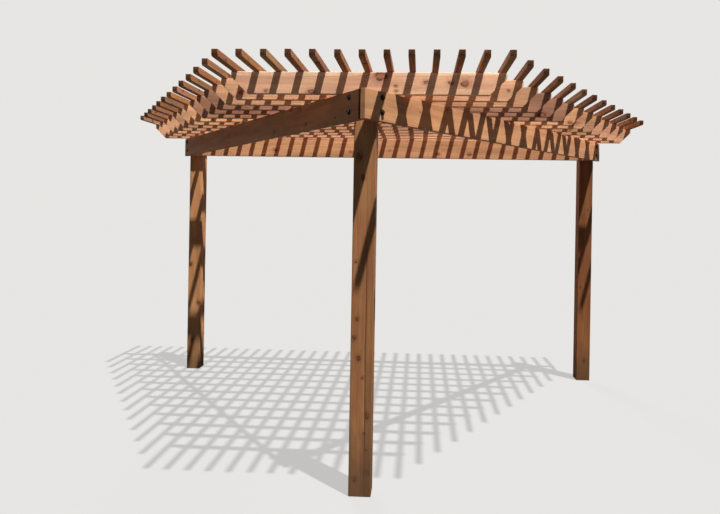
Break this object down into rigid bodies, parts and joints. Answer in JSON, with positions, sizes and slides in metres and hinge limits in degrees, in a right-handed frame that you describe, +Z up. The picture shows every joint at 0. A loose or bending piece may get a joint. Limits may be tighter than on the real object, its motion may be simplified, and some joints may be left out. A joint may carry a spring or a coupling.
{
  "type": "triangular timber pergola",
  "caption": "Free-standing triangular pergola: square posts, slanting beams lapped at the front post, stepped joists and an open roof of thin purlins.",
  "frame": {"origin": "on the ground, under the middle of the roof's outline", "axes": "+X along the joists towards the right back post, +Y from the front post towards the back beam, +Z up"},
  "size_m": [5.01, 3.552, 2.66],
  "materials": {
    "post_wood": "stained, weathered, slightly rough",
    "beam_wood": "stained, slightly rough",
    "joist_wood": "stained, slightly rough",
    "purlin_wood": "stained, slightly rough",
    "bolt_metal": "black, dull"
  },
  "bodies": {
    "root": {"front_post": "post_wood", "left_post": "post_wood", "right_post": "post_wood", "left_beam": "beam_wood", "right_beam": "beam_wood", "back_beam": "beam_wood", "joist_01": "joist_wood", "joist_02": "joist_wood", "joist_03": "joist_wood", "joist_04": "joist_wood", "joist_05": "joist_wood", "joist_06": "joist_wood", "joist_07": "joist_wood", "joist_08": "joist_wood", "joist_09": "joist_wood", "joist_10": "joist_wood", "joist_11": "joist_wood", "joist_12": "joist_wood", "joist_13": "joist_wood", "centre_purlin": "purlin_wood", "purlin_pair_01": "purlin_wood", "purlin_pair_02": "purlin_wood", "purlin_pair_03": "purlin_wood", "purlin_pair_04": "purlin_wood", "purlin_pair_05": "purlin_wood", "purlin_pair_06": "purlin_wood", "purlin_pair_07": "purlin_wood", "purlin_pair_08": "purlin_wood", "purlin_pair_09": "purlin_wood", "purlin_pair_10": "purlin_wood", "purlin_pair_11": "purlin_wood", "purlin_pair_12": "purlin_wood", "purlin_pair_13": "purlin_wood", "purlin_pair_14": "purlin_wood", "purlin_pair_15": "purlin_wood", "purlin_pair_16": "purlin_wood", "purlin_pair_17": "purlin_wood", "purlin_pair_18": "purlin_wood"}
  },
  "joints": []
}
